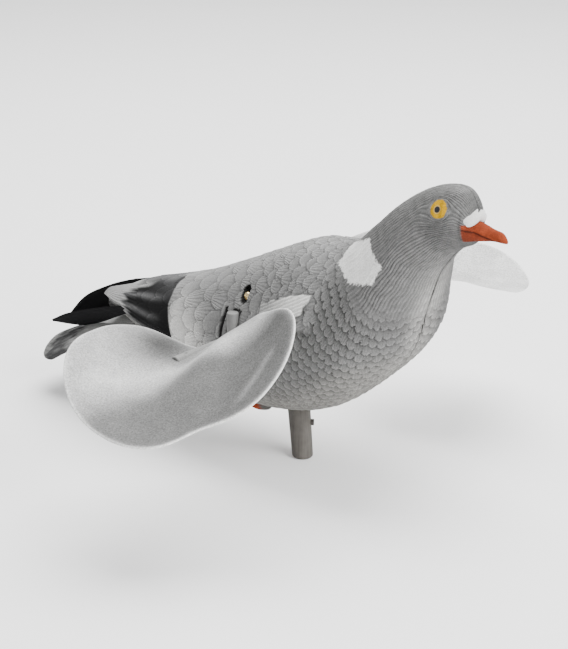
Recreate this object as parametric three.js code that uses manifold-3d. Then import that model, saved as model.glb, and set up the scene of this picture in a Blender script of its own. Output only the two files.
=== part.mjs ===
// A flocked woodpigeon decoy: a bird moulded in two halves on a short peg, with two
// curved wing blades that spin together on an axle through its flanks.
// Millimetres, +Z up. The bird faces +X and its right side is -Y.
// The origin is the middle of the peg's flat foot.
import * as THREE from 'three';
import { mergeVertices } from 'three/addons/utils/BufferGeometryUtils.js';
import Module from 'manifold-3d';

const wasm = await Module();
wasm.setup();

// Driving sizes of the bird
const birdLength = 397;
const tailThickness = 5;
const wingThickness = 3.6;
const wingRaise = 2.2;
const tipThickness = 1.4;

// Driving sizes of the peg
const pegHeight = 35.5;
const pegTopRadius = 7.9;
const pegFootRadius = 7.2;
const pegEdge = 2;
const pegForwardLean = 3.4;
const pegSocketDepth = 14;
const pinRadius = 2.2;
const pinReach = 1.6;
const pinDepth = 5;
const pinHeight = 25;
const pinTurn = 35;

// Driving sizes of the spinning wings, from the peg's top
const axleHeight = 60.1;
const axleSetback = 13.2;
const axleRadius = 2;
const axleHalfLength = 100;
const bladeThickness = 1.6;
const bladeInnerEdge = 58;
const bladeRim = 0.5;
const sleeveWall = 1.7;
const sleeveEnd = 108;
const setScrewRadius = 1.2;
const setScrewFromEnd = 10;
const sleeveWebWidth = 3;
const sleeveWebInset = 1;
const postRadius = 3.9;
const postOut = 52.2;
const postAboveAxle = 19;
const postBelowAxle = 16;

// Driving sizes of the screw and the slit in the right flank, from the peg's top
const screwHeadRadius = 3.1;
const screwHeadHeight = 2.4;
const screwShankRadius = 1.6;
const screwShankLength = 12;
const screwSlotLength = 3.4;
const screwSlotWidth = 0.8;
const screwSlotDepth = 0.8;
const screwPocketHeight = 11;
const screwSetback = 10.8;
const screwHeight = 87.4;
const screwSeatOut = 39.2;
const slitWidth = 3.2;
const slitHeight = 34;
const slitDepth = 12;
const slitSetback = 23.5;

// Clearances
const touchGap = 0.3;
const runningGap = 0.5;

// The free form of the bird is drawn at this length and scaled to the length above.
const drawnLength = 397;
const form = birdLength / drawnLength;

// Sections of body and head from rump to forehead: the place of the section's middle, its
// backward lean in degrees, its reach up, down and sideways, and how much wider it is below.
const bodySections = [
  { x: -165, z: 43, lean: 0, up: 5, down: 7, half: 15, egg: 0 },
  { x: -140, z: 47, lean: 0, up: 13.5, down: 15, half: 24.5, egg: 0 },
  { x: -112, z: 47.5, lean: 0, up: 22, down: 24, half: 35, egg: 0 },
  { x: -80, z: 48, lean: 0, up: 33.5, down: 34, half: 43.5, egg: 0 },
  { x: -45, z: 51, lean: 0, up: 45.5, down: 46, half: 50, egg: 0 },
  { x: -10, z: 55, lean: 0, up: 57.5, down: 54.5, half: 53, egg: 0 },
  { x: 28, z: 64, lean: 8, up: 61, down: 53, half: 53, egg: 0.05 },
  { x: 61, z: 84, lean: 15, up: 46.5, down: 46, half: 51, egg: 0.28 },
  { x: 80, z: 105.5, lean: 20, up: 40, down: 43.5, half: 44, egg: 0.34 },
  { x: 92.5, z: 126.5, lean: 23, up: 32, down: 33.5, half: 34.5, egg: 0.28 },
  { x: 102.5, z: 141.5, lean: 25, up: 26, down: 26, half: 25.5, egg: 0.2 },
  { x: 112.5, z: 151, lean: 20, up: 23.3, down: 23.5, half: 19.5, egg: 0.1 },
  { x: 122, z: 155.5, lean: 10, up: 22.6, down: 20.8, half: 17.5, egg: 0 },
  { x: 131, z: 157, lean: 0, up: 21.5, down: 17.6, half: 15, egg: 0 },
  { x: 138, z: 155.5, lean: 0, up: 17.5, down: 12.8, half: 11, egg: 0 },
  { x: 142, z: 153, lean: 0, up: 10.5, down: 7, half: 6, egg: 0 },
];

// Feathers pressed into the moulding, as overlapping scallops. They fade on the head, over
// the stretch of x given, and the folded wing raises the flank between its own edges.
const ringsPerFeather = 3;
const pointsPerFeather = 3;
const featherRows = 18;
const feathersAround = 12;
const featherRelief = 1.1;
const featherRounding = 0.7;
const featherFall = 0.8;
const headFade = { from: 50, to: 75, share: 0.8 };
const wingEdge = { low: 45, rise: 34, riseFrom: -10, riseTo: 42, soft: 2 };
const wingFront = { from: 46, to: 52 };
const wingTop = { from: 16, to: 40 };

// Sections of the beak from its root inside the head to its hooked tip
const beakSections = [
  { x: 129, z: 151, lean: 0, up: 8, down: 7, half: 9.6, egg: 0 },
  { x: 138, z: 151, lean: 0, up: 8, down: 5.8, half: 7.6, egg: 0 },
  { x: 148, z: 151, lean: 0, up: 6, down: 4, half: 4.8, egg: 0 },
  { x: 156, z: 150.5, lean: 0, up: 4.4, down: 2.6, half: 3.2, egg: 0 },
  { x: 160.5, z: 149.7, lean: 0, up: 3, down: 1.8, half: 2.3, egg: 0 },
  { x: 162.7, z: 149, lean: 0, up: 1.2, down: 1, half: 1, egg: 0 },
];

// Rear ends of the folded wings: lower edge, upper edge and crown of the section at each x
const wingSections = [
  { x: -58, lowY: 44, lowZ: 48, topY: 8, topZ: 83, crown: 6 },
  { x: -85, lowY: 45, lowZ: 47.5, topY: 5, topZ: 77.5, crown: 8 },
  { x: -105, lowY: 39, lowZ: 47, topY: 4, topZ: 71, crown: 6.5 },
  { x: -130, lowY: 32, lowZ: 49.5, topY: 3.6, topZ: 63.5, crown: 4 },
  { x: -150, lowY: 25, lowZ: 49, topY: 5, topZ: 56.5, crown: 2.5 },
  { x: -166, lowY: 17.5, lowZ: 49.5, topY: 11, topZ: 52, crown: 1 },
];

// The tail fan: middle of the section, half width and droop of its sides at each x
const tailSections = [
  { x: -128, z: 39.5, half: 26, droop: 9 },
  { x: -155, z: 31, half: 27, droop: 8 },
  { x: -180, z: 22, half: 27, droop: 9 },
  { x: -203, z: 12.5, half: 29, droop: 13 },
  { x: -218, z: 5.5, half: 27.5, droop: 15 },
  { x: -227, z: 1, half: 22, droop: 12 },
  { x: -232, z: -2, half: 14, droop: 6 },
];
const tailFeathers = 6;
const tailStep = 0.8;

// The swellings over the nostrils, placed from the beak's second section, and the feet, each
// an egg shape on both sides
const cere = { long: 7.6, wide: 4.2, high: 5.2, pitch: 0.35, back: 0.5, side: 4.6, above: 11 };
const foot = { long: 12, wide: 5.5, high: 5, x: -24, y: 15, z: 2.5 };

// Paths of the two black wing tips. The right one lies flat and the left one stands on edge.
const rightTip = [
  { x: -131, y: -28, z: 49.5, half: 4 },
  { x: -157, y: -23.5, z: 39.5, half: 7 },
  { x: -180, y: -18.5, z: 30, half: 9 },
  { x: -203, y: -15, z: 21.5, half: 8.5 },
  { x: -228, y: -12, z: 14.5, half: 1 },
];
const rightTipRoll = 45;
const leftTip = [
  { x: -138, y: 4, z: 57, half: 6 },
  { x: -162, y: 5, z: 49, half: 6.8 },
  { x: -184, y: 5, z: 39, half: 7.6 },
  { x: -206, y: 4, z: 26.5, half: 7.4 },
  { x: -227, y: 2, z: 11.5, half: 1.5 },
];
const leftTipRoll = 85;
const tipSection = [[1, 0.4], [0.5, 1], [-0.5, 1], [-1, 0.4], [-1, -0.4], [-0.5, -1], [0.5, -1], [1, -0.4]];

// A wing blade: reach of its outline from its middle at every twelfth of a turn, counted from
// the front over the side of the body to the rear. Its surface is a wave across the axle with
// a dish added, and both change along the span. Two ridges rise from it near the body, one
// ahead of the axle and one behind it, and fade outwards. Span is counted from the middle to
// the body.
const bladeReach = [68.9, 79.1, 71.5, 70.1, 64.9, 79.3, 71, 68.4, 64.5, 62.1, 63.4, 53.4];
const bladeMiddle = { forward: 28.9, out: 140.8, back: 2.7, up: 1.4 };
const bladeWave = { height: -2, rise: -2.5, fall: 1.3, length: 86, lengthening: -12, dish: 26.7 };
const bladeTwist = { middle: -16, rise: 29.1, curl: 13.2 };
const bladeRidges = [
  { height: 12.7, forward: 31.8, slant: 0.19, width: 16.3, out: 103, fade: 49 },
  { height: 14.9, forward: -43.6, slant: 0, width: 20.3, out: 55, fade: 51 },
];
const bladeSpan = 80;

// Value at t, from 0 to 1, on a smooth curve through evenly spaced values
function through(values, t) {
  const last = values.length - 1;
  const at = Math.min(last - 1, Math.floor(t * last));
  const f = t * last - at;
  const near = [at - 1, at, at + 1, at + 2].map((i) => values[THREE.MathUtils.clamp(i, 0, last)]);
  const [a, b, c, d] = near;
  return b + 0.5 * f * (c - a + f * (2 * a - 5 * b + 4 * c - d + f * (3 * (b - c) + d - a)));
}

// Reads one field of a list of sections at t
const field = (sections, t) => (name) => through(sections.map((s) => s[name]), t);

const fraction = (value) => value - Math.floor(value);

const steps = (count) => Array.from({ length: count + 1 }, (_, i) => i / count);

// Values of t that split the skin over a list of sections into rows of equal length
function evenSteps(sections, count) {
  const fine = steps(400);
  const crosses = fine.map((t) => ring(sections, t, 4));
  const reached = [0];
  for (let i = 1; i < fine.length; i += 1) {
    const moves = crosses[i].map((point, j) => point.distanceTo(crosses[i - 1][j]));
    reached.push(reached[i - 1] + Math.max(...moves));
  }
  return steps(count).map((part) => fine[reached.findIndex((d) => d >= part * reached.at(-1) - 1e-9)]);
}

// Closed skin over rings that all have the same number of points
function skin(rings) {
  const count = rings[0].length;
  const middle = (ring) => ring.reduce((sum, p) => sum.add(p), new THREE.Vector3()).divideScalar(count);
  const points = [...rings.flat(), middle(rings[0]), middle(rings.at(-1))];
  const first = points.length - 2;
  const last = points.length - 1;
  const end = (rings.length - 1) * count;
  const faces = [];
  for (let j = 0; j < count; j += 1) {
    const k = (j + 1) % count;
    for (let i = 0; i < rings.length - 1; i += 1) {
      const [a, b] = [i * count, (i + 1) * count];
      faces.push(a + j, b + k, b + j, a + j, a + k, b + k);
    }
    faces.push(first, k, j, last, end + j, end + k);
  }
  const geometry = new THREE.BufferGeometry().setFromPoints(points);
  geometry.setIndex(faces);
  geometry.computeVertexNormals();
  return geometry;
}

// Closed sheet around a grid of points on its middle surface, thinner at its rim
function sheet(grid, thickness, rim = 0.5) {
  const [rows, columns] = [grid.length, grid[0].length];
  const at = (i, j) => grid[THREE.MathUtils.clamp(i, 0, rows - 1)][THREE.MathUtils.clamp(j, 0, columns - 1)];
  const face = (side) => grid.flatMap((row, i) => row.map((point, j) => {
    const along = at(i + 1, j).clone().sub(at(i - 1, j));
    const across = at(i, j + 1).clone().sub(at(i, j - 1));
    const onRim = i === 0 || j === 0 || i === rows - 1 || j === columns - 1;
    const reach = 0.5 * thickness * (onRim ? rim : 1);
    return point.clone().addScaledVector(along.cross(across).normalize(), side * reach);
  }));
  const under = rows * columns;
  const faces = [];
  const quad = (a, b, c, d) => faces.push(a, b, c, a, c, d);
  for (let i = 0; i < rows - 1; i += 1) {
    for (let j = 0; j < columns - 1; j += 1) {
      const [a, b] = [i * columns + j, (i + 1) * columns + j];
      quad(a, b, b + 1, a + 1);
      quad(under + a, under + a + 1, under + b + 1, under + b);
    }
  }
  const wall = (a, b) => quad(a, under + a, under + b, b);
  for (let i = 0; i < rows - 1; i += 1) {
    wall(i * columns, (i + 1) * columns);
    wall((i + 2) * columns - 1, (i + 1) * columns - 1);
  }
  for (let j = 0; j < columns - 1; j += 1) {
    wall(j + 1, j);
    wall((rows - 1) * columns + j, (rows - 1) * columns + j + 1);
  }
  const geometry = new THREE.BufferGeometry().setFromPoints([...face(1), ...face(-1)]);
  geometry.setIndex(faces);
  return geometry;
}

// A closed geometry as a solid for joining and cutting
function solid(geometry) {
  const bare = geometry.clone();
  bare.deleteAttribute('normal');
  bare.deleteAttribute('uv');
  const merged = mergeVertices(bare, 1e-3);
  return new wasm.Manifold(new wasm.Mesh({
    numProp: 3,
    vertProperties: new Float32Array(merged.attributes.position.array),
    triVerts: new Uint32Array(merged.index.array),
  }));
}

// A solid as a geometry
function geometryOf(manifold) {
  const mesh = manifold.getMesh();
  const geometry = new THREE.BufferGeometry();
  geometry.setAttribute('position', new THREE.BufferAttribute(mesh.vertProperties, 3));
  geometry.setIndex(new THREE.BufferAttribute(mesh.triVerts, 1));
  const flat = geometry.toNonIndexed();
  flat.computeVertexNormals();
  return flat;
}

const otherSide = (manifold) => manifold.mirror([0, 1, 0]);

const box = (dx, dy, dz, x, y, z) => solid(new THREE.BoxGeometry(dx, dy, dz).translate(x, y, z));

// A round rod along Y from one y to another
function rodAlongY(radius, fromY, toY, x, z, sides = 16) {
  const rod = new THREE.CylinderGeometry(radius, radius, toY - fromY, sides);
  return solid(rod.translate(x, 0.5 * (fromY + toY), z));
}

// An upright round rod from one z to another
function rodUpright(radius, fromZ, toZ, x, y, sides = 16) {
  const rod = new THREE.CylinderGeometry(radius, radius, toZ - fromZ, sides);
  return solid(rod.rotateX(Math.PI / 2).translate(x, y, 0.5 * (fromZ + toZ)));
}

// One ring of points of a body or beak section
function ring(sections, t, count) {
  const value = field(sections, t);
  const lean = THREE.MathUtils.degToRad(value('lean'));
  return Array.from({ length: count }, (_, j) => {
    const angle = (2 * Math.PI * j) / count;
    const rise = Math.cos(angle) * (Math.cos(angle) > 0 ? value('up') : value('down'));
    const side = -Math.sin(angle) * value('half') * (1 - value('egg') * Math.cos(angle));
    const x = value('x') - rise * Math.sin(lean);
    const z = value('z') + rise * Math.cos(lean);
    return new THREE.Vector3(x, side, z).multiplyScalar(form);
  });
}

// Height of the pressed feathers, from 0 to 1: each one is highest at its rounded rear end
function featherHeight(row, around) {
  for (let n = Math.ceil(row) + 1; n >= row - 2; n -= 1) {
    const across = 2 * fraction(around + 0.5 * (Math.abs(n) % 2)) - 1;
    const rear = n + featherRounding * across * across;
    if (rear <= row) return Math.max(0, 1 - featherFall * (row - rear));
  }
  return 0;
}

// How far the folded wing raises the flank at a place, from 0 to 1
function foldedWing(x, z) {
  const rising = THREE.MathUtils.smoothstep(x, wingEdge.riseFrom, wingEdge.riseTo);
  const edge = wingEdge.low + wingEdge.rise * rising;
  const inside = THREE.MathUtils.smoothstep(z, edge - wingEdge.soft, edge + wingEdge.soft);
  const behindShoulder = 1 - THREE.MathUtils.smoothstep(x, wingFront.from, wingFront.to);
  const belowBack = 1 - THREE.MathUtils.smoothstep(z, edge + wingTop.from, edge + wingTop.to);
  return inside * behindShoulder * belowBack;
}

function bodyGeometry() {
  const count = pointsPerFeather * feathersAround;
  const stations = evenSteps(bodySections, ringsPerFeather * featherRows);
  const rings = stations.map((t) => ring(bodySections, t, count));
  const geometry = skin(rings);
  const { position, normal } = geometry.attributes;
  const point = new THREE.Vector3();
  const outward = new THREE.Vector3();
  rings.slice(0, -1).forEach((points, i) => {
    const onHead = THREE.MathUtils.smoothstep(points[0].x / form, headFade.from, headFade.to);
    const relief = featherRelief * (1 - headFade.share * onHead);
    points.forEach((_, j) => {
      const v = i * count + j;
      point.fromBufferAttribute(position, v);
      outward.fromBufferAttribute(normal, v);
      const scallops = featherHeight(i / ringsPerFeather, j / pointsPerFeather) - 0.5;
      point.addScaledVector(outward, wingRaise * foldedWing(point.x / form, point.z / form));
      point.addScaledVector(outward, relief * scallops);
      position.setXYZ(v, point.x, point.y, point.z);
    });
  });
  return geometry;
}

const beakGeometry = () => skin(steps(9).map((t) => ring(beakSections, t, 12)));

// The white swelling over one nostril
function cereGeometry(side) {
  const root = beakSections[1];
  return new THREE.SphereGeometry(1, 12, 7)
    .scale(cere.long * form, cere.wide * form, cere.high * form)
    .rotateY(cere.pitch)
    .translate((root.x - cere.back) * form, side * cere.side * form, (root.z + cere.above) * form);
}

const footGeometry = (side) => new THREE.SphereGeometry(1, 14, 7)
  .scale(foot.long * form, foot.wide * form, foot.high * form)
  .translate(foot.x * form, side * foot.y * form, foot.z * form);

function tailGeometry() {
  const columns = 2 * tailFeathers;
  const grid = steps(8).map((t) => {
    const value = field(tailSections, t);
    return steps(columns).map((part, j) => {
      const across = 2 * part - 1;
      const drop = value('droop') * across * across + (j % 2) * tailStep;
      return new THREE.Vector3(value('x'), -across * value('half'), value('z') - drop).multiplyScalar(form);
    });
  });
  return sheet(grid, tailThickness);
}

// The rear end of the right folded wing, a curved plate
function wingEndGeometry() {
  const grid = steps(8).map((t) => {
    const value = field(wingSections, t);
    const low = new THREE.Vector3(value('x'), -value('lowY'), value('lowZ'));
    const top = new THREE.Vector3(value('x'), -value('topY'), value('topZ'));
    const out = new THREE.Vector3(0, low.z - top.z, low.y - top.y).negate().setY(low.z - top.z).normalize();
    return steps(6).map((f) => low.clone().lerp(top, 1 - f)
      .addScaledVector(out, 4 * f * (1 - f) * value('crown')).multiplyScalar(form));
  });
  return sheet(grid, wingThickness);
}

// A thin black wing tip along its path, wider and thicker by the gap for the slot it sits in
function tipGeometry(path, roll, gap) {
  const turn = THREE.MathUtils.degToRad(roll);
  const place = (t) => new THREE.Vector3(...['x', 'y', 'z'].map((name) => field(path, t)(name)));
  const rings = steps(8).map((t) => {
    const along = place(Math.min(1, t + 0.02)).sub(place(Math.max(0, t - 0.02))).normalize();
    const upward = new THREE.Vector3(0, 1, 0).cross(along).negate().normalize();
    const wide = new THREE.Vector3(0, Math.cos(turn), 0).addScaledVector(upward, Math.sin(turn)).normalize();
    const thick = along.clone().cross(wide).normalize();
    const half = field(path, t)('half') + gap;
    const edge = 0.5 * tipThickness + gap;
    const middle = place(t).addScaledVector(along, t > 0 ? 0 : -gap);
    return tipSection.map(([w, h]) => middle.clone()
      .addScaledVector(wide, w * half)
      .addScaledVector(thick, h * edge)
      .multiplyScalar(form));
  });
  return skin(rings);
}

// The peg from its foot up into its socket in the belly, leaning by a sideways shift
function pegSolid(gap) {
  const top = pegHeight + pegSocketDepth;
  const profile = [
    [0, 0], [pegFootRadius - pegEdge, 0], [pegFootRadius - 0.3 * pegEdge, 0.3 * pegEdge],
    [pegFootRadius, pegEdge], [pegTopRadius, pegHeight], [pegTopRadius, top], [0, top],
  ].map(([r, z]) => new THREE.Vector2(r > 0 ? r + gap : 0, z + (z === top ? gap : 0)));
  const peg = new THREE.LatheGeometry(profile, 20).rotateX(Math.PI / 2);
  const shift = -pegForwardLean / pegHeight;
  return solid(peg.applyMatrix4(new THREE.Matrix4().makeShear(0, 0, 0, 0, shift, 0)));
}

// Middle surface of the right blade at a part of its reach and an angle around its middle
function bladePoint(part, angle) {
  const count = bladeReach.length;
  const sector = (angle / (2 * Math.PI)) * count;
  const at = Math.floor(sector);
  const near = [-1, 0, 1, 2].map((i) => bladeReach[(at + i + count) % count]);
  const reach = part * through(near, (1 + sector - at) / 3);
  const outward = Math.max(bladeMiddle.out - reach * Math.sin(angle), bladeInnerEdge);
  const forward = bladeMiddle.forward + reach * Math.cos(angle);
  const span = (bladeMiddle.out - outward) / bladeSpan;
  const height = bladeWave.height + bladeWave.rise * span - bladeWave.fall * span ** 2;
  const length = bladeWave.length + bladeWave.lengthening * span;
  const dish = bladeWave.dish * (forward / bladeSpan) ** 2;
  const phase = THREE.MathUtils.clamp(forward / length, -0.75, 0.75);
  const ridges = bladeRidges.map((ridge) => {
    const along = outward - ridge.out;
    const beside = ((forward - ridge.forward - ridge.slant * along) / ridge.width) ** 2;
    const faded = (along / ridge.fade) ** 2;
    return ridge.height * Math.exp(-beside - faded);
  });
  const rise = height * Math.sin(2 * Math.PI * phase) + dish + ridges[0] + ridges[1];
  const twist = bladeTwist.middle + bladeTwist.rise * span + bladeTwist.curl * span ** 2;
  return new THREE.Vector3(forward, 0, rise)
    .applyAxisAngle(new THREE.Vector3(0, -1, 0), THREE.MathUtils.degToRad(twist))
    .add(new THREE.Vector3(-bladeMiddle.back, -outward, bladeMiddle.up));
}

// One blade with its sleeve, bored for the axle and for the set screw, on the axle's line
function bladeSolid() {
  const [around, parts] = [36, [0.2, 0.45, 0.7, 0.9, 1]];
  const nudge = 1e-3;
  const surface = (side) => parts.map((part) => steps(around).slice(0, -1).map((turn) => {
    const angle = 2 * Math.PI * turn;
    const point = bladePoint(part, angle);
    const outwards = bladePoint(part - nudge, angle).sub(point);
    const onward = bladePoint(part, angle + nudge).sub(point);
    const normal = onward.cross(outwards).normalize();
    const rim = part === 1 ? bladeRim : 1;
    return point.addScaledVector(normal, 0.5 * side * rim * bladeThickness);
  }));
  const plate = solid(skin([...surface(-1), ...surface(1).reverse()]));
  const sleeve = rodAlongY(axleRadius + touchGap + sleeveWall, -sleeveEnd, -bladeInnerEdge, 0, 0);
  const sleeveLength = sleeveEnd - bladeInnerEdge;
  const webMiddle = -0.5 * (sleeveEnd + bladeInnerEdge);
  const webLength = sleeveLength - 2 * sleeveWebInset;
  const web = box(sleeveWebWidth, webLength, bladeMiddle.up, 0, webMiddle, 0.5 * bladeMiddle.up);
  const bore = rodAlongY(axleRadius + touchGap, -sleeveEnd - 1, -bladeInnerEdge + 1, 0, 0);
  const hole = rodUpright(setScrewRadius, 0, sleeveLength, 0, -sleeveEnd + setScrewFromEnd, 12);
  return plate.add(sleeve).add(web).subtract(bore).subtract(hole);
}

const materials = {
  flock: new THREE.MeshStandardMaterial({ color: 0x969592, roughness: 0.95 }),
  paleFlock: new THREE.MeshStandardMaterial({ color: 0xbdbdb9, roughness: 0.95 }),
  black: new THREE.MeshStandardMaterial({ color: 0x1d1d1f, roughness: 0.85 }),
  grey: new THREE.MeshStandardMaterial({ color: 0x8b8b88, roughness: 0.6 }),
  steel: new THREE.MeshStandardMaterial({ color: 0x9a9c9e, roughness: 0.35, metalness: 0.9 }),
  brass: new THREE.MeshStandardMaterial({ color: 0xb79a5e, roughness: 0.35, metalness: 0.9 }),
  peg: new THREE.MeshStandardMaterial({ color: 0x6d6861, roughness: 0.8 }),
  dark: new THREE.MeshStandardMaterial({ color: 0x2c2a28, roughness: 0.6 }),
};

// A capsule-shaped hole along Y, from one y to another
function oval(radius, height, fromY, toY, x, z) {
  const spread = 0.5 * height - radius;
  return rodAlongY(radius, fromY, toY, x, z + spread)
    .add(rodAlongY(radius, fromY, toY, x, z - spread))
    .add(box(2 * radius, toY - fromY, 2 * spread, x, 0.5 * (fromY + toY), z));
}

// The upright post beside the right opening, or with a gap the hollow it stands in
function postSolid(gap) {
  const [low, high] = [axleHeight - postBelowAxle, axleHeight + postAboveAxle];
  return rodUpright(postRadius + gap, low - gap, high + gap, -axleSetback, -postOut);
}

// The round-headed screw with a cross slot, its head outward along -Y and its seat at y = 0
function screwSolid() {
  const profile = [
    [0, -1], [0.55, -0.9], [0.9, -0.55], [1, -0.2], [1, 0],
  ].map(([r, y]) => [r * screwHeadRadius, y * screwHeadHeight]);
  profile.push([screwShankRadius, 0], [screwShankRadius, screwShankLength], [0, screwShankLength]);
  const round = solid(new THREE.LatheGeometry(profile.map(([r, y]) => new THREE.Vector2(r, y)), 14));
  const slot = (dx, dz) => box(dx, 2 * screwSlotDepth, dz, 0, -screwHeadHeight, 0);
  return round
    .subtract(slot(screwSlotLength, screwSlotWidth))
    .subtract(slot(screwSlotWidth, screwSlotLength));
}

// The pin in the side of the peg, or with a gap the hole it sits in
function pinSolid(gap) {
  const length = pinDepth + pinReach + gap;
  const rod = new THREE.CylinderGeometry(pinRadius + gap, pinRadius + gap, length, 14);
  rod.rotateZ(-Math.PI / 2).translate(pegTopRadius + pinReach - 0.5 * length, 0, 0);
  const shift = -pegForwardLean * (pinHeight / pegHeight);
  return solid(rod.rotateZ(THREE.MathUtils.degToRad(pinTurn)).translate(shift, 0, pinHeight));
}

const onAxle = (manifold) => manifold.translate([-axleSetback, 0, axleHeight]);
const inFlank = (manifold) => manifold.translate([-screwSetback, -screwSeatOut, screwHeight]);

// Places measured from the peg's top are moved to the frame of the foot
const lift = (manifold) => manifold.translate([-pegForwardLean, 0, pegHeight]);

const rightWingEnd = solid(wingEndGeometry());
const mouldings = [
  bodyGeometry(), beakGeometry(), cereGeometry(-1), cereGeometry(1), tailGeometry(),
  footGeometry(-1), footGeometry(1),
].map(solid);
const shell = [...mouldings, rightWingEnd, otherSide(rightWingEnd)].reduce((all, piece) => all.add(piece));

const axleBore = onAxle(rodAlongY(axleRadius + runningGap, -birdLength, birdLength, 0, 0));
const pocketRadius = screwHeadRadius + runningGap;
const pocketMiddle = 0.5 * screwPocketHeight - pocketRadius;
const slitMiddle = axleHeight + postAboveAxle - 0.5 * slitHeight;
const openings = [
  axleBore,
  postSolid(touchGap),
  otherSide(postSolid(touchGap)),
  box(slitWidth, slitDepth, slitHeight, -slitSetback, -postOut, slitMiddle),
  inFlank(oval(pocketRadius, screwPocketHeight, -screwSeatOut, touchGap, 0, pocketMiddle)),
  inFlank(rodAlongY(screwShankRadius + touchGap, 0, screwShankLength + touchGap, 0, 0)),
  solid(tipGeometry(rightTip, rightTipRoll, touchGap)),
  solid(tipGeometry(leftTip, leftTipRoll, touchGap)),
  pegSolid(touchGap).translate([pegForwardLean, 0, -pegHeight]),
];
const hollowed = openings.reduce((all, opening) => all.subtract(opening), shell);

const sideBox = (side) => box(
  2 * birdLength, birdLength, 2 * birdLength, 0, 0.5 * side * (birdLength + touchGap), 0,
);
const rightBlade = onAxle(bladeSolid());
const rightPost = postSolid(0).subtract(axleBore);
const pieces = [
  ['body_right_half', lift(hollowed.intersect(sideBox(-1))), materials.flock],
  ['body_left_half', lift(hollowed.intersect(sideBox(1))), materials.flock],
  ['primary_tips_right', lift(solid(tipGeometry(rightTip, rightTipRoll, 0))), materials.black],
  ['primary_tips_left', lift(solid(tipGeometry(leftTip, leftTipRoll, 0))), materials.black],
  ['body_screw', lift(inFlank(screwSolid())), materials.brass],
  ['axle_post_right', lift(rightPost), materials.grey],
  ['axle_post_left', lift(otherSide(rightPost)), materials.grey],
  ['wing_axle', lift(onAxle(rodAlongY(axleRadius, -axleHalfLength, axleHalfLength, 0, 0))), materials.steel],
  ['wing_blade_right', lift(rightBlade), materials.paleFlock],
  ['wing_blade_left', lift(otherSide(rightBlade)), materials.paleFlock],
  ['stand_peg', pegSolid(0).subtract(pinSolid(touchGap)), materials.peg],
  ['peg_pin', pinSolid(0), materials.dark],
];

const decoy = new THREE.Group();
for (const [name, manifold, material] of pieces) {
  const mesh = new THREE.Mesh(geometryOf(manifold), material);
  mesh.name = name;
  decoy.add(mesh);
}

export default decoy;
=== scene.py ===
# A flocked woodpigeon decoy with spinning wings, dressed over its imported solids.
# The tables are in millimetres from the top of the peg: +X towards the beak, -Y to the
# bird's right, +Z up. to_frame() moves them to the part's own frame, in metres.
import math
from types import SimpleNamespace as Sizes

import bpy
import numpy as np
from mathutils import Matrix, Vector


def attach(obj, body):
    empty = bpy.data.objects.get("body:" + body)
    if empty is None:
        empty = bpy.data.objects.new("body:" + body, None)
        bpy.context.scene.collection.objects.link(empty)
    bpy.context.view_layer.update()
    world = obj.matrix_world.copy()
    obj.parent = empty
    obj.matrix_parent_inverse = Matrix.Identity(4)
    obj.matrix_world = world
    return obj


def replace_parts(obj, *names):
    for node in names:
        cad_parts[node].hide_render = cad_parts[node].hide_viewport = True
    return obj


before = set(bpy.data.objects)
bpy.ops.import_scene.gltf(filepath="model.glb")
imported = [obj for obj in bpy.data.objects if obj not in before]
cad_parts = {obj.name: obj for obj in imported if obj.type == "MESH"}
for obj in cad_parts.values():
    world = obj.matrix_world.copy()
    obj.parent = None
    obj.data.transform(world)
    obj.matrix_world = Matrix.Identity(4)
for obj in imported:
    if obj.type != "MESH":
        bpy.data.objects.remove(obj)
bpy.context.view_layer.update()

MM = 0.001
PEG_HEIGHT = 35.5
PEG_LEAN = 3.4
PEG_TOP_RADIUS = 7.9
PEG_FOOT_RADIUS = 7.2
PEG_EDGE = 2.0
PEG_HIDDEN = 8
AT_AXIS = 0.001
AXLE = Sizes(x=-13.2, z=60.1, radius=2.0)
SEAM_GAP = 0.15
GRID_STEP = 0.92
BODY_COLUMNS = 182
BODY_HALF_WIDTH = 53
WING_RAISE = 2.2
FLANK_LIMIT = -25

# A feather's half width as a share of the space between two, the width of its bright rim (a
# painted highlight and worn flock), its barbs and a distance that is beyond every feather
FEATHER_REACH = 0.58
RIM_WIDTH = 0.9
BARB_PITCH = 2.1
LEAF_BARB_PITCH = 2.2
FAR = 9.0

# Middle, backward lean, reach up, down and sideways, and egg shape of each section
BODY_SECTIONS = [
    (-165, 43, 0, 5, 7, 15, 0),
    (-140, 47, 0, 13.5, 15, 24.5, 0),
    (-112, 47.5, 0, 22, 24, 35, 0),
    (-80, 48, 0, 33.5, 34, 43.5, 0),
    (-45, 51, 0, 45.5, 46, 50, 0),
    (-10, 55, 0, 57.5, 54.5, 53, 0),
    (28, 64, 8, 61, 53, 53, 0.05),
    (61, 84, 15, 46.5, 46, 51, 0.28),
    (80, 105.5, 20, 40, 43.5, 44, 0.34),
    (92.5, 126.5, 23, 32, 33.5, 34.5, 0.28),
    (102.5, 141.5, 25, 26, 26, 25.5, 0.2),
    (112.5, 151, 20, 23.3, 23.5, 19.5, 0.1),
    (122, 155.5, 10, 22.6, 20.8, 17.5, 0),
    (131, 157, 0, 21.5, 17.6, 15, 0),
    (138, 155.5, 0, 17.5, 12.8, 11, 0),
    (142, 153, 0, 10.5, 7, 6, 0),
]
BEAK_SECTIONS = [
    (129, 151, 0, 8, 7, 9.6, 0),
    (138, 151, 0, 8, 5.8, 7.6, 0),
    (148, 151, 0, 6, 4, 4.8, 0),
    (156, 150.5, 0, 4.4, 2.6, 3.2, 0),
    (160.5, 149.7, 0, 3, 1.8, 2.3, 0),
    (162.7, 149, 0, 1.2, 1, 1, 0),
]

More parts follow.
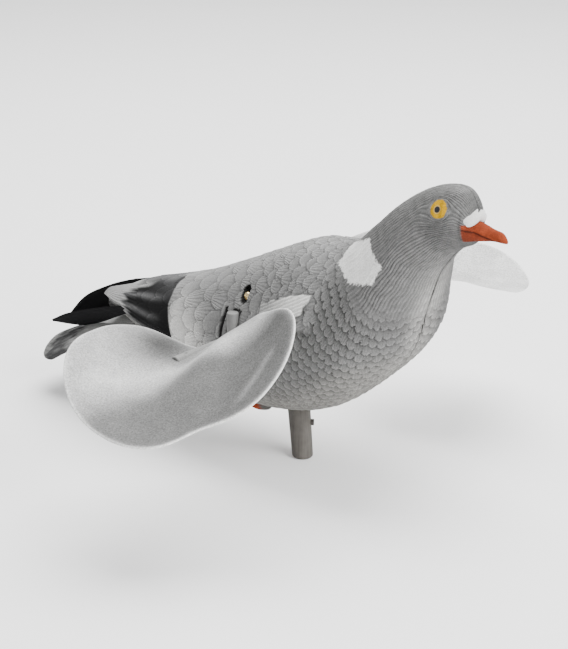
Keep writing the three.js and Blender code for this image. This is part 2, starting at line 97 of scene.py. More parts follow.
# Lower edge, upper edge and crown of the folded wing's rear end at each x
WING_SECTIONS = [
    (-58, 44, 48, 8, 83, 6),
    (-85, 45, 47.5, 5, 77.5, 8),
    (-105, 39, 47, 4, 71, 6.5),
    (-130, 32, 49.5, 3.6, 63.5, 4),
    (-150, 25, 49, 5, 56.5, 2.5),
    (-166, 17.5, 49.5, 11, 52, 1),
]
WING_THICKNESS = 3.6

# Middle height, half width and droop of the tail fan at each x
TAIL_SECTIONS = [
    (-128, 39.5, 26, 9),
    (-155, 31, 27, 8),
    (-180, 22, 27, 9),
    (-203, 12.5, 29, 13),
    (-218, 5.5, 27.5, 15),
    (-227, 1, 22, 12),
    (-232, -2, 14, 6),
]
TAIL_THICKNESS = 5.0
TAIL_FEATHERS = 6
WING_FEATHERS = 5.2
FEATHER_RAISE = 0.9

# Paths and half widths of the black wing tips, and how far each is rolled on edge
RIGHT_TIP = [
    (-131, -28, 49.5, 4),
    (-157, -23.5, 39.5, 7),
    (-180, -18.5, 30, 9),
    (-203, -15, 21.5, 8.5),
    (-228, -12, 14.5, 1),
]
LEFT_TIP = [
    (-138, 4, 57, 6),
    (-162, 5, 49, 6.8),
    (-184, 5, 39, 7.6),
    (-206, 4, 26.5, 7.4),
    (-227, 2, 11.5, 1.5),
]
RIGHT_TIP_ROLL = 45
LEFT_TIP_ROLL = 85
TIP_THICKNESS = 1.4

# The right wing blade: reach of its outline at every twelfth of a turn from its middle, and
# its surface, a wave across the axle with a dish and two fading ridges added
BLADE_REACH = [68.9, 79.1, 71.5, 70.1, 64.9, 79.3, 71, 68.4, 64.5, 62.1, 63.4, 53.4]
BLADE_MIDDLE = Sizes(forward=28.9, out=140.8, back=2.7, up=1.4)
BLADE_WAVE = Sizes(height=-2, rise=-2.5, fall=1.3, length=86, lengthening=-12, dish=26.7)
BLADE_TWIST = Sizes(middle=-16, rise=29.1, curl=13.2)
BLADE_RIDGES = [
    Sizes(height=12.7, forward=31.8, slant=0.19, width=16.3, out=103, fade=49),
    Sizes(height=14.9, forward=-43.6, slant=0, width=20.3, out=55, fade=51),
]
BLADE_SPAN = 80
# Line of the painted highlight band on the blade's top: outward reaches, then forward places; lit behind it,
# painted shade ahead of it
HIGHLIGHT_BAND = ([76, 88, 108, 117, 145, 163, 190], [49, 38, 27, 13, 3, -5, -10])
BLADE_INNER_EDGE = 58
BLADE_THICKNESS = 1.6
SLEEVE = Sizes(radius=4.0, bore=2.3, out=108.0, hole=1.2, hole_from_end=10.0)

# Places on the bird, as (x, z) where only two numbers are given
EYE = (122.1, 165.8)
EYE_RADIUS = 5.5
PUPIL = (121.2, 165.5)
PUPIL_RADIUS = 2.0
NECK_PATCH = [(52.3, 129.7), (73.3, 138.8), (94.0, 127.9), (90.3, 116.5), (73.0, 113.5), (52.2, 119.5)]
SHOULDER_LEAF = [
    (6.6, 88.3), (29.7, 97.2), (46.2, 100.7), (45.6, 95.7), (42.0, 88.0), (30.0, 78.0), (10.0, 74.0),
]
LEAF_TIP = (47.0, 101.0)
LEAF_ROOT = (8.0, 80.0)
DARK_ZONE = [
    (-92, 75), (-85.5, 69), (-83.5, 64.5), (-79.5, 59.5), (-75.9, 53.5), (-70, 40), (-98, 40),
    (-125, 44), (-136, 52), (-140, 56), (-136, 60), (-128, 64), (-118, 68.5), (-105, 73),
]
WING_POINT = (-172, 50)
BEAK_BASE = Sizes(x=136.4, low=146.5, high=157.5)
CERE = Sizes(x=137.2, z=162.8, long=7.0, wide=11.2, high=5.2, pitch=0.55, drop=3.0, furrow=0.12)
SCREW = Sizes(x=-10.8, z=87.4)
SCREW_POCKET = Sizes(radius=3.6, height=11.0, depth=7.0)
SLIT = Sizes(x=-23.5, width=3.2, low=45.1, high=79.1, depth=7.0)
POST = Sizes(x=-13.2, out=52.2, radius=3.9, low=44.1, high=79.1)
POST_HOLLOW = Sizes(width=8.8, depth=4.6, above=0.6)
BORE = Sizes(clearance=0.6, depth=6.0)
FOOT = Sizes(x=-24, out=15, z=2.5, radii=(12, 5.5, 5), lumps=0.06)

rng = np.random.default_rng(7)
CHANCES = rng.uniform(-1, 1, (3, 61, 67))


def to_frame(points):
    """Points in millimetres from the peg's top, in metres from its foot."""
    return (np.asarray(points, float) + (-PEG_LEAN, 0, PEG_HEIGHT)) * MM


def smooth(value, low, high):
    """0 below low and 1 above high, with a soft step between them."""
    t = np.clip((value - low) / (high - low), 0, 1)
    return t * t * (3 - 2 * t)


def bell(value, middle, width):
    """1 at the middle, fading softly to 0 on both sides."""
    return np.exp(-((value - middle) / width) ** 2)


def full_turn(sides):
    """Evenly spaced angles around a full turn."""
    return np.linspace(0, 2 * math.pi, sides, endpoint=False)


def cubic(before, start, end, after, share):
    """The value a share of the way from start to end, on a smooth curve through all four."""
    turn = 3 * (start - end) + after - before
    bend = 2 * before - 5 * start + 4 * end - after + share * turn
    return start + 0.5 * share * (end - before + share * bend)


def through(values, t):
    """Values at t, from 0 to 1, on a smooth curve through evenly spaced values."""
    values = np.asarray(values, float)
    last = len(values) - 1
    at = np.clip(np.floor(np.asarray(t, float) * last).astype(int), 0, last - 1)
    return cubic(*(values[np.clip(at + k, 0, last)] for k in (-1, 0, 1, 2)), t * last - at)


def sections_at(sections, t):
    """Every number of a list of sections at t, which is 0 at the first and 1 at the last."""
    return [through(numbers, t) for numbers in zip(*sections)]


def together(*parts):
    """The given numbers side by side for each place of a grid."""
    return np.stack(np.broadcast_arrays(*parts), -1)


def unit(vectors):
    return vectors / np.maximum(np.linalg.norm(vectors, axis=-1, keepdims=True), 1e-12)


def wander(x, y, scale, seed):
    """Smooth noise of about -1 to 1 over two coordinates, with features about scale wide."""
    own = np.random.default_rng(seed)
    total = np.zeros(np.broadcast(x, y).shape)
    for _ in range(7):
        turn, phase = own.uniform(0, 2 * math.pi, 2)
        pitch = scale * own.uniform(0.7, 1.6)
        total += np.sin(2 * math.pi * (x * math.cos(turn) + y * math.sin(turn)) / pitch + phase)
    return total / 3.5


def polygon_distance(x, z, corners):
    """Distance from a polygon's outline, positive inside it."""
    corners = np.asarray(corners, float)
    inside = np.zeros(x.shape, bool)
    nearest = np.full(x.shape, 1e9)
    for (x0, z0), (x1, z1) in zip(corners, np.roll(corners, -1, 0)):
        dx, dz = x1 - x0, z1 - z0
        along = np.clip(((x - x0) * dx + (z - z0) * dz) / (dx * dx + dz * dz), 0, 1)
        nearest = np.minimum(nearest, np.hypot(x - x0 - along * dx, z - z0 - along * dz))
        crosses = (z0 > z) != (z1 > z)
        inside ^= crosses & (x < x0 + dx * (z - z0) / (dz if dz else 1e-9))
    return np.where(inside, nearest, -nearest)


# Meshes

def mesh_object(name, points, faces, body, material, attributes=None):
    """A smooth mesh piece in the part's frame that rides on a body."""
    mesh = bpy.data.meshes.new(name)
    mesh.from_pydata(to_frame(points).reshape(-1, 3).tolist(), [], faces)
    mesh.validate()
    for key, values in (attributes or {}).items():
        kind, field = ("FLOAT_COLOR", "color") if values.shape[-1] == 4 else ("FLOAT_VECTOR", "vector")
        made = mesh.attributes.new(key, kind, "POINT")
        made.data.foreach_set(field, values.astype(np.float32).ravel())
    mesh.shade_smooth()
    piece = bpy.data.objects.new(name, mesh)
    bpy.context.scene.collection.objects.link(piece)
    mesh.materials.append(material)
    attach(piece, body)
    return piece


def grid_faces(rows, columns, closed=False, flip=False, start=0):
    """Faces of a grid of points, which is joined up around its columns if it is closed."""
    i, j = np.indices((rows - 1, columns if closed else columns - 1)).reshape(2, -1)
    k = (j + 1) % columns
    corners = [i * columns + j, (i + 1) * columns + j, (i + 1) * columns + k, i * columns + k]
    faces = np.stack(corners, 1) + start
    return (faces[:, ::-1] if flip else faces).tolist()


def normals_of(points, closed=False):
    """Unit normals of a grid of points, along its second direction crossed with its first."""
    first = unit(np.gradient(points, axis=0))
    second = np.roll(points, -1, 1) - np.roll(points, 1, 1) if closed else np.gradient(points, axis=1)
    return unit(np.cross(unit(second), first))


def section_ring(sections, t, angle):
    """Points on a lofted form at t along its sections and at angles from its top."""
    x, z, lean, up, down, half, egg = sections_at(sections, t)
    lean = np.radians(lean)
    rise = np.cos(angle) * np.where(np.cos(angle) > 0, up, down)
    side = -np.sin(angle) * half * (1 - egg * np.cos(angle))
    return together(x - rise * np.sin(lean), side, z + rise * np.cos(lean))


def chance(kind, n, m):
    """A number from -1 to 1 that stays the same for the feather of row n and column m."""
    rows, columns = CHANCES.shape[1:]
    return CHANCES[kind, n.astype(int) % rows, m.astype(int) % columns]


class Feathers:
    """Rounded feathers laid over one another in rows. Rows lie at whole values of u, which grows
    towards the head, and the feathers of a row at whole values of v. Row and width are in mm.
    height is their relief; shade their brightness, with a painted highlight and worn flock
    along each free rim, a painted shadow below the edge of the feather above and painted shade
    towards the root; lines the phase of the barbs that fan out from each root, and own a chance
    number of each feather."""

    def __init__(self, u, v, row, width, depth=0.7, unevenness=0.08, softness=1.2, crease_shadow=0.6):
        kept = np.stack(np.broadcast_arrays(2.0 * row, np.zeros(u.shape), 0, 0, FAR))
        shadow = np.full(u.shape, FAR)
        free = np.ones(u.shape, bool)
        for n in [np.floor(u) + k for k in (1, 0, -1, -2)]:
            shift = 0.5 * (n % 2)
            column = np.floor(v - shift)
            found = np.full(u.shape, FAR)
            for m in (column - 1, column, column + 1):
                offset = v - (m + shift + 0.5 + unevenness * chance(0, n, m))
                edge = np.abs(offset) / FEATHER_REACH
                drop = np.sqrt(1 - np.clip(edge, 0, 0.995) ** 2)
                ahead = u - n - 1.4 * unevenness * chance(1, n, m) - depth * (1 - drop)
                slope = depth * row * edge / (drop * FEATHER_REACH * width)
                apart = np.abs(ahead) * row / np.sqrt(1 + slope ** 2)
                near = free & (edge < 1)
                here = near & (ahead >= 0) & (edge < found)
                shadow = np.where(near & (ahead < 0), np.minimum(shadow, apart), shadow)
                kept = np.where(here, [ahead * row, offset * width, edge, chance(2, n, m), apart], kept)
                found = np.where(here, edge, found)
            free &= found > 1
        inward, across, beside, self.own, rim = kept
        # Painted light and shade: a painted highlight on each free rim (with worn flock), a painted shadow
        # where a feather lies over the next, and painted shade towards the root
        fall = np.clip(inward / (1.3 * row), 0, 1)
        light = 0.42 * bell(rim, 0, RIM_WIDTH)
        dark = crease_shadow * np.exp(-shadow / softness)
        self.height = 0.5 - 0.8 * fall - 0.3 * beside ** 2 + 0.1 * self.own
        self.shade = 1 + light - dark - 0.16 * fall + 0.06 * self.own
        fan = np.arctan2(across, inward + 0.45 * width)
        self.lines = fan * 0.8 * width / BARB_PITCH


# Materials

EYE_YELLOW = (0.42, 0.235, 0.002)
HALO_YELLOW = (0.5, 0.42, 0.25)
PUPIL_BLACK = (0.022, 0.022, 0.024)
PATCH_WHITE = (0.62, 0.62, 0.605)
# Painted shade inside the screw pocket and the slit
HOLLOW_SHADE = (0.01, 0.01, 0.01)
FLOCK_ROUGHNESS = 0.95
GRAIN_STRETCH = (1, 1, 0.06)


class Nodes:
    """Short calls for building a material. Flock mirrors less than everything else."""

    def __init__(self, name, roughness, metallic=0.0):
        self.material = bpy.data.materials.new(name)
        self.material.use_nodes = True
        self.tree = self.material.node_tree
        self.shader = self.tree.nodes["Principled BSDF"]
        self.shader.inputs["Roughness"].default_value = roughness
        self.shader.inputs["Metallic"].default_value = metallic
        self.shader.inputs["Specular IOR Level"].default_value = 0.1 if roughness == FLOCK_ROUGHNESS else 0.5
        self.place = self.add("ShaderNodeTexCoord").outputs["Object"]

    def add(self, kind, inputs=None, **settings):
        """A new node, with values or links for its inputs."""
        node = self.tree.nodes.new(kind)
        for key, value in settings.items():
            setattr(node, key, value)
        for key, value in (inputs or {}).items():
            self.put(node.inputs[key], value)
        return node

    def put(self, socket, value):
        if isinstance(value, bpy.types.NodeSocket):
            self.tree.links.new(value, socket)
        elif isinstance(value, tuple) and len(value) == 3 and socket.type == "RGBA":
            socket.default_value = (*value, 1)
        else:
            socket.default_value = value

    def math(self, operation, *values):
        return self.add("ShaderNodeMath", dict(enumerate(values)), operation=operation).outputs[0]

    def noise(self, size_mm, detail=2.0, roughness=0.5, vector=None):
        inputs = {"Vector": vector or self.place, "Scale": 1 / (size_mm * MM),
                  "Detail": detail, "Roughness": roughness}
        return self.add("ShaderNodeTexNoise", inputs).outputs["Fac"]

    def span(self, *values):
        """A value carried over from one range, low and high, to another."""
        return self.add("ShaderNodeMapRange", dict(enumerate(values))).outputs[0]

    def uneven(self, size_mm, reach):
        """Noise about zero, for ragged edges."""
        return self.math("MULTIPLY", self.math("SUBTRACT", self.noise(size_mm), 0.5), reach)

    def mix(self, factor, first, second, kind="MIX"):
        inputs = {0: factor, 6: first, 7: second}
        return self.add("ShaderNodeMix", inputs, data_type="RGBA", blend_type=kind).outputs[2]

    def grey(self, value):
        return self.add("ShaderNodeCombineColor", dict.fromkeys(range(3), value)).outputs[0]

    def shaded(self, colour, shade):
        return self.mix(1.0, colour, self.grey(shade), "MULTIPLY")

    def attribute(self, name, output="Color"):
        return self.add("ShaderNodeAttribute", attribute_name=name).outputs[output]

    def split(self, vector):
        return self.add("ShaderNodeSeparateXYZ", {0: vector}).outputs

    def bump(self, height, depth_mm, normal=None):
        node = self.add("ShaderNodeBump", {"Distance": depth_mm * MM, "Height": height})
        if normal:
            self.put(node.inputs["Normal"], normal)
        return node.outputs["Normal"]

    def finish(self, colour, normal=None):
        self.put(self.shader.inputs["Base Color"], colour)
        if normal:
            self.put(self.shader.inputs["Normal"], normal)
        return self.material


def speckled(n, colour, amount, size_mm=0.9):
    """A colour broken up by the fine grain of flock and by slow mottling."""
    fine = n.span(n.noise(size_mm, 3, 0.7), 0.3, 0.7, 1 - amount, 1 + amount)
    slow = n.span(n.noise(14, 3), 0.3, 0.7, 1 - 0.3 * amount, 1 + 0.3 * amount)
    return n.shaded(colour, n.math("MULTIPLY", fine, slow))


def spotted(n, colour):
    """The white neck patch and the eye, at distances that come with the mesh."""
    eye, patch, pupil = n.split(n.attribute("spots", "Vector"))
    white = n.span(n.math("ADD", patch, n.uneven(2.2, 5.0)), -0.5, 0.7, 0, 0.93)
    ring = n.span(n.math("ADD", eye, n.uneven(1.4, 1.6)), EYE_RADIUS - 0.3, EYE_RADIUS + 0.3, 1, 0)
    halo = n.span(pupil, PUPIL_RADIUS + 0.1, PUPIL_RADIUS + 0.7, 0.5, 0)
    dark = n.span(pupil, PUPIL_RADIUS - 0.25, PUPIL_RADIUS + 0.25, 1, 0)
    colour = n.mix(white, colour, PATCH_WHITE)
    colour = n.mix(ring, colour, EYE_YELLOW)
    colour = n.mix(halo, colour, HALO_YELLOW)
    return n.mix(dark, colour, PUPIL_BLACK)


def plumage_material(name, on_body):
    """Flock whose colour comes with the mesh, with fine lines and grain in relief. The lines
    attribute holds their phase, their strength and, on the body, what lies in a hollow that is
    painted in shade."""
    n = Nodes(name, FLOCK_ROUGHNESS)
    phase, strength, hollow_shade = n.split(n.attribute("lines", "Vector"))
    drift = n.math("MULTIPLY", n.noise(6, 3), 0.6)
    wave = n.math("SINE", n.math("MULTIPLY", n.math("ADD", phase, drift), 2 * math.pi))
    lines = n.math("MULTIPLY", wave, strength)
    colour = n.shaded(n.attribute("tint"), n.math("MULTIPLY_ADD", lines, 0.18, 1.0))
    if on_body:
        colour = spotted(n, colour)
    colour = speckled(n, colour, 0.26)
    # Painted shade inside the screw pocket and the slit
    if on_body:
        colour = n.mix(n.span(hollow_shade, -0.9, -0.3, 0, 0.9), colour, HOLLOW_SHADE)
    grain = n.bump(n.noise(0.7, 3, 0.7), 0.25)
    return n.finish(colour, n.bump(lines, 0.3, grain))


def flock_material(name, base, speckle, size_mm=0.9):
    """Flock of one colour, or of the mesh's own colours where none is given."""
    n = Nodes(name, FLOCK_ROUGHNESS)
    colour = speckled(n, base or n.attribute("tint"), speckle, size_mm)
    return n.finish(colour, n.bump(n.noise(0.7, 3, 0.7), 0.2))


def grained_material(name, dark, light, roughness):
    """A surface streaked along Z."""
    n = Nodes(name, roughness)
    mapping = n.add("ShaderNodeMapping", {"Vector": n.place, "Scale": GRAIN_STRETCH})
    streak = n.noise(2.0, 4, 0.6, mapping.outputs[0])
    patch = n.noise(9, 3)
    share = n.span(n.math("MULTIPLY_ADD", patch, 0.5, n.math("MULTIPLY", streak, 0.6)), 0.35, 0.75, 0, 1)
    return n.finish(n.mix(share, dark, light), n.bump(streak, 0.15))


def metal_material(name, colour, roughness):
    """Bare metal, a little worn."""
    n = Nodes(name, roughness, 1.0)
    worn = n.span(n.noise(1.2, 4, 0.65), 0.3, 0.7, 0.8, 1.1)
    return n.finish(n.shaded(colour, worn), n.bump(n.noise(0.8), 0.03))


def moulded_material(name, colour, roughness):
    """Moulded plastic with a faint unevenness."""
    n = Nodes(name, roughness)
    return n.finish(speckled(n, colour, 0.08, 1.0), n.bump(n.noise(0.9), 0.04))


PLUMAGE = plumage_material("plumage", on_body=True)
PLAIN_PLUMAGE = plumage_material("wing_plumage", on_body=False)
PALE_FLOCK = flock_material("pale_flock", None, 0.38, 1.1)
SLEEVE_FLOCK = flock_material("sleeve_flock", (0.22, 0.22, 0.215), 0.2)
BLACK_FLOCK = flock_material("black_flock", (0.004, 0.004, 0.0045), 0.3)
WHITE_FLOCK = flock_material("white_flock", (0.5, 0.5, 0.49), 0.1)
PEG = grained_material("peg_grain", (0.03, 0.026, 0.022), (0.085, 0.078, 0.068), 0.75)
GREY_PLASTIC = moulded_material("grey_plastic", (0.11, 0.11, 0.107), 0.6)
DARK_PLASTIC = moulded_material("dark_plastic", (0.03, 0.026, 0.022), 0.5)
STEEL = metal_material("steel", (0.5, 0.5, 0.51), 0.32)
BRASS = metal_material("brass", (0.72, 0.58, 0.32), 0.3)

GREY = (0.122, 0.122, 0.12)
NECK_GREY = (0.105, 0.104, 0.103)
BACK_GREY = (0.155, 0.155, 0.153)
COVERT_GREY = (0.16, 0.16, 0.157)
PALE_GREY = (0.5, 0.495, 0.48)
BREAST_GREY = (0.21, 0.207, 0.2)
BELLY_GREY = (0.19, 0.186, 0.175)
LEAF_GREY = (0.5, 0.5, 0.485)
WING_BLACK = (0.004, 0.004, 0.0042)
WING_STREAK = (0.08, 0.08, 0.081)
TIP_GREY = (0.22, 0.22, 0.217)
TAIL_GREY = (0.26, 0.26, 0.255)
TAIL_BAND = (0.03, 0.03, 0.031)
TAIL_END = (0.17, 0.17, 0.165)
ORANGE = (0.19, 0.034, 0.013)
DARK_ORANGE = (0.085, 0.018, 0.01)
FOOT_GREY = (0.08, 0.077, 0.073)
# Painted light and shade on the blade's top: lit grey, shaded grey, deeper shade and the highlight of its
# band
BLADE_LIT = (0.31, 0.31, 0.306)
BLADE_SHADED = (0.12, 0.12, 0.118)
BLADE_SHADE = (0.06, 0.06, 0.059)
BLADE_CREST_HIGHLIGHT = (0.42, 0.42, 0.414)
WING_WHITE = (0.8, 0.8, 0.79)
RIM_WHITE = (0.6, 0.6, 0.59)


def blend(first, second, share):
    share = np.asarray(share)[..., None]
    return first * (1 - share) + second * share


def layered(colour, *layers):
    """A colour with others laid over it, each by its own share."""
    for over, share in layers:
        colour = blend(colour, over, share)
    return colour


def tinted(colour, shade=1.0):
    """Vertex colours with a shade multiplied in."""
    colour = np.clip(colour * np.asarray(shade)[..., None], 0, 1)
    return np.concatenate([colour, np.ones_like(colour[..., :1])], -1)


# The body

def even_rows(step):
    """Values of t along the body, a step apart."""
    fine = np.linspace(0, 1, 3001)
    crosses = section_ring(BODY_SECTIONS, fine[:, None], np.array([[0, 0.5, 1, 1.5]]) * math.pi)
    moves = np.linalg.norm(np.diff(crosses, axis=0), axis=-1).max(1)
    reached = np.concatenate([[0], np.cumsum(moves)])
    return np.interp(np.linspace(0, reached[-1], int(reached[-1] / step)), reached, fine)


def wing_lower_edge(x):
    return 45 + 34 * smooth(x, -10, 42)


def folded_wing(x, z):
    """How far the folded wing raises the flank, from 0 to 1."""
    low = wing_lower_edge(x)
    return smooth(z, low - 2, low + 2) * (1 - smooth(x, 46, 52)) * (1 - smooth(z, low + 16, low + 40))


def on_neck(x, z):
    """0 on the breast and back, 1 where the feathers turn into long grooves."""
    return smooth(z + 0.5 * (x - 75) + 3 * wander(x, z, 17, 21), 96, 116) * smooth(x, 42, 60)


def lattice(points, row):
    """Rows counted along each column of a grid from its middle row."""
    steps = np.linalg.norm(np.diff(points, axis=0), axis=-1) / (0.5 * (row[1:] + row[:-1]))
    count = np.concatenate([np.zeros((1, points.shape[1])), np.cumsum(steps, 0)])
    return count - count[len(count) // 2]


def groove_lines(x, z, angle, girth):
    """Phase of the grooves that run down the neck and part around the eye."""
    around = (angle - angle[:, :1]) * girth / math.pi
    dx, dz = x - EYE[0], z - EYE[1]
    clear = EYE_RADIUS + 1.0
    parting = clear ** 2 / np.maximum(np.hypot(dx, dz), clear) ** 2
    count = 40 * angle / math.pi + parting * 40 * dz / girth
    return count + 0.35 * wander(x, z, 16, 3) + 0.15 * wander(x, 0.4 * around, 7, 4)


def small_feathers(plain, around, scale):
    """The feathers of the breast and back, whose rows run aslant across the body."""
    row, width, slant = 5.6, 8.4, 0.55
    along = row * lattice(plain, row + 0 * around)
    forward = along * math.cos(slant) - around * math.sin(slant)
    sideways = along * math.sin(slant) + around * math.cos(slant)
    return Feathers(forward / row, sideways / width, row, width * scale)


def large_feathers(plain, around, scale):
    """The feathers of the folded wing, which grow larger towards its rear end."""
    front = smooth(plain[..., 0], -85, 30)
    row = 14.5 - 8 * front
    width = 20 - 10.5 * front
    spread = (around - 0.4 * math.pi * BODY_HALF_WIDTH) / width
    return Feathers(lattice(plain, row), spread, row, width * scale,
                    depth=0.8, unevenness=0.16, softness=1.5, crease_shadow=0.3)


class BodyHalf:
    """The right half of the body as a grid of points, with what covers each of them."""

    def __init__(self):
        t = even_rows(GRID_STEP)
        angle = np.linspace(0, math.pi, BODY_COLUMNS)[None, :] + 0 * t[:, None]
        self.plain = section_ring(BODY_SECTIONS, t[:, None], angle)
        self.normals = normals_of(self.plain)
        self.x, self.z = self.plain[..., 0], self.plain[..., 2]
        girth = np.linalg.norm(np.diff(self.plain, axis=1), axis=-1).sum(1)[:, None]
        scale = girth / (math.pi * BODY_HALF_WIDTH)
        around = angle * BODY_HALF_WIDTH
        self.small = small_feathers(self.plain, around, scale)
        self.large = large_feathers(self.plain, around, scale)
        above_edge = smooth(self.z - wing_lower_edge(self.x), -1.5, -0.5)
        self.on_wing = above_edge * (1 - smooth(self.x, 49.5, 50.5)) > 0.5
        self.neck = on_neck(self.x, self.z)
        self.strands = groove_lines(self.x, self.z, angle, girth)
        self.from_leaf = polygon_distance(self.x, self.z, SHOULDER_LEAF)
        self.leaf = smooth(self.from_leaf + 0.8 * wander(self.x, self.z, 7, 11), -0.4, 0.6)

    def relief(self):
        """Height of the feathers and grooves, evened out where the right flank has hollows."""
        on_wing = (0.45 + 0.5 * smooth(self.x, -50, 0)) * self.large.height
        relief = np.where(self.on_wing, on_wing, 1.2 * self.small.height * (1 - 0.85 * self.neck))
        relief += 0.12 * self.neck * np.sin(math.pi * self.strands)
        relief *= 1 - smooth(self.x, 126, 134)
        for shape, _, _ in openings(-1):
            outside = -box_depth(self.x, self.z, *shape)
            relief = 0.25 + (relief - 0.25) * smooth(outside, 0.3, 2.2)
        return relief * (1 - 0.75 * self.leaf) + 0.7 * self.leaf

    def raised(self):
        """The points, with the folded wing raised and the feathers pressed in."""
        wing = WING_RAISE * folded_wing(self.x, self.z)
        return self.plain + self.normals * wing[..., None] + self.normals * self.relief()[..., None]

    def shade(self):
        """Brightness: painted shadow under the wing's edge and around the shoulder feather, a painted
        highlight on faces turned upwards and a chance tone on the neck.
        """
        small = 1 + (self.small.shade - 1) * (1 - 0.85 * self.neck)
        shade = np.where(self.on_wing, self.large.shade, small)
        shade = 1 + (shade - 1) * (1 - self.leaf)
        # Painted shadow around the raised shoulder feather
        shade *= 1 - 0.4 * bell(np.minimum(self.from_leaf, 0), 0, 1.3) * (1 - self.leaf)
        under_wing = wing_lower_edge(self.x) - self.z
        # Painted shadow just below the folded wing's lower edge
        shade *= 1 - 0.3 * bell(under_wing, 1.5, 2.5) * (1 - smooth(self.x, 46, 54))
        shade *= 1 + 0.1 * self.neck * wander(self.x, self.z, 5, 8)
        # Painted highlight on faces turned upwards, as if lit from above
        return shade * (1 + 0.5 * smooth(self.normals[..., 2], 0.6, 1))

    def lines(self):
        """Phase and strength of the fine lines, and -1 because no point is yet painted with the shade of a
        hollow.
        """
        x, z = self.x, self.z
        lean_x, lean_z = LEAF_TIP[0] - LEAF_ROOT[0], LEAF_TIP[1] - LEAF_ROOT[1]
        from_shaft = (z - LEAF_ROOT[1]) * lean_x - (x - LEAF_ROOT[0]) * lean_z
        leaf_lines = from_shaft / math.hypot(lean_x, lean_z) / LEAF_BARB_PITCH
        phase = np.where(self.on_wing, self.large.lines, self.small.lines)
        strength = np.where(self.on_wing, 0.25 + 0.25 * self.large.own, 0.25)
        for inside, own in ((self.leaf > 0.5, leaf_lines), (self.neck > 0.5, self.strands)):
            phase = np.where(inside, own, phase)
            strength = np.where(inside, 0.9, strength)
        strength *= np.abs(2 * self.neck - 1) ** 0.5
        strength *= 1 - 0.8 * smooth(polygon_distance(x, z, NECK_PATCH), -1, 1)
        strength *= 1 - smooth(polygon_distance(x, z, DARK_ZONE), -2, 1)
        return together(phase, strength, -1.0)


def painted(points, normals):
    """Colours of the body and of the folded wings at places on them."""
    x, y, z = (points[..., k] for k in range(3))
    up = normals[..., 2]
    rear = 1 - smooth(x, -58, -28)
    wing = smooth(z - wing_lower_edge(x), -1.5, 0.5) * (1 - smooth(x, 40, 60))
    leaf = polygon_distance(x, z, SHOULDER_LEAF) + 0.8 * wander(x, z, 7, 11)
    colour = layered(
        GREY,
        (NECK_GREY, smooth(x + 0.5 * z, 110, 150) * (1 - smooth(z, 150, 165))),
        (BACK_GREY, wing),
        (COVERT_GREY, wing * rear * (1 - smooth(up, 0.45, 0.85))),
        (PALE_GREY, rear * (1 - smooth(z + 0.12 * x, 46, 72)) * smooth(x, -84, -72)),
        (BREAST_GREY, smooth(y, -26, -2) * smooth(x, 60, 95) * (1 - smooth(z, 95, 150))),
        (BELLY_GREY, smooth(-up, 0.3, 0.85) * (1 - smooth(z, 55, 100))),
        (LEAF_GREY, smooth(leaf, -0.6, 0.8) * (1 - 0.8 * smooth(-x, -38, -8))),
    )
    return wing_markings(colour, x, z)


def wing_markings(colour, x, z):
    """The black end of the folded wing, with grey streaks that run to its point."""
    heading = np.arctan2(z - WING_POINT[1], x - WING_POINT[0])
    distance = np.hypot(x - WING_POINT[0], z - WING_POINT[1])
    streak = 0.5 + 0.5 * np.sin(heading * 44 + 0.8 * wander(distance, heading * 200, 60, 31))
    inside = polygon_distance(x, z, DARK_ZONE)
    behind = smooth(-x, 104, 124)
    inside = inside + behind * (2.5 * wander(heading * 220, 0.08 * distance, 14, 32) + 3.0 * streak - 1.5)
    dark = smooth(inside, -0.6 - 2.5 * behind, 0.6 + 2.5 * behind)
    streaks = 0.8 * streak ** 3 * smooth(-x, 84, 108) + 0.3 * smooth(z, 62, 74)
    black = blend(WING_BLACK, WING_STREAK, streaks)
    return layered(colour, (TIP_GREY, smooth(-x, 100, 116) * (z > 44)), (black, dark))


def box_depth(x, z, middle_x, middle_z, half_x, half_z, corner):
    """Distance from the outline of a rounded box, positive inside it."""
    over_x = np.abs(x - middle_x) - half_x + corner
    over_z = np.abs(z - middle_z) - half_z + corner
    beyond = np.hypot(np.maximum(over_x, 0), np.maximum(over_z, 0))
    return corner - (beyond + np.minimum(np.maximum(over_x, over_z), 0))


def carve(points, shape, depth):
    """Sinks the flank inside a rounded box, with the nearest points moved onto its edge."""
    step, reach, beside = 0.01, 0.5, 0.03
    x, z = points[..., 0], points[..., 2]
    inside = box_depth(x, z, *shape)
    slope_x = (box_depth(x + step, z, *shape) - inside) / step
    slope_z = (box_depth(x, z + step, *shape) - inside) / step
    steep = np.maximum(np.hypot(slope_x, slope_z), 0.5)
    flank = points[..., 1] < FLANK_LIMIT
    sunk = flank & (inside > 0)
    move = np.where(flank & (np.abs(inside) < reach), np.where(inside > 0, beside, -beside) - inside, 0)
    carved = points.copy()
    carved[..., 0] += move * slope_x / steep ** 2
    carved[..., 2] += move * slope_z / steep ** 2
    carved[..., 1] += np.where(sunk, depth, 0)
    return carved, sunk


def box(x, low, high, width, corner):
    return x, 0.5 * (low + high), 0.5 * width, 0.5 * (high - low), corner


def openings(side):
    """Outline and depth of each hollow in one flank, and whether it is painted in shade inside."""
    bore = AXLE.radius + BORE.clearance
    above = POST_HOLLOW.above
    post = box(POST.x, POST.low - above, POST.high + above, POST_HOLLOW.width, 1.5)
    axle = box(AXLE.x, AXLE.z - bore, AXLE.z + bore, 2 * bore, bore)
    both = [(post, POST_HOLLOW.depth, False), (axle, BORE.depth, False)]
    if side > 0:
        return both
    radius = SCREW_POCKET.radius
    low = SCREW.z - radius
    screw = box(SCREW.x, low, low + SCREW_POCKET.height, 2 * radius, radius)
    slit = box(SLIT.x, SLIT.low, SLIT.high, SLIT.width, 0.3)
    return both + [(screw, SCREW_POCKET.depth, True), (slit, SLIT.depth, True)]


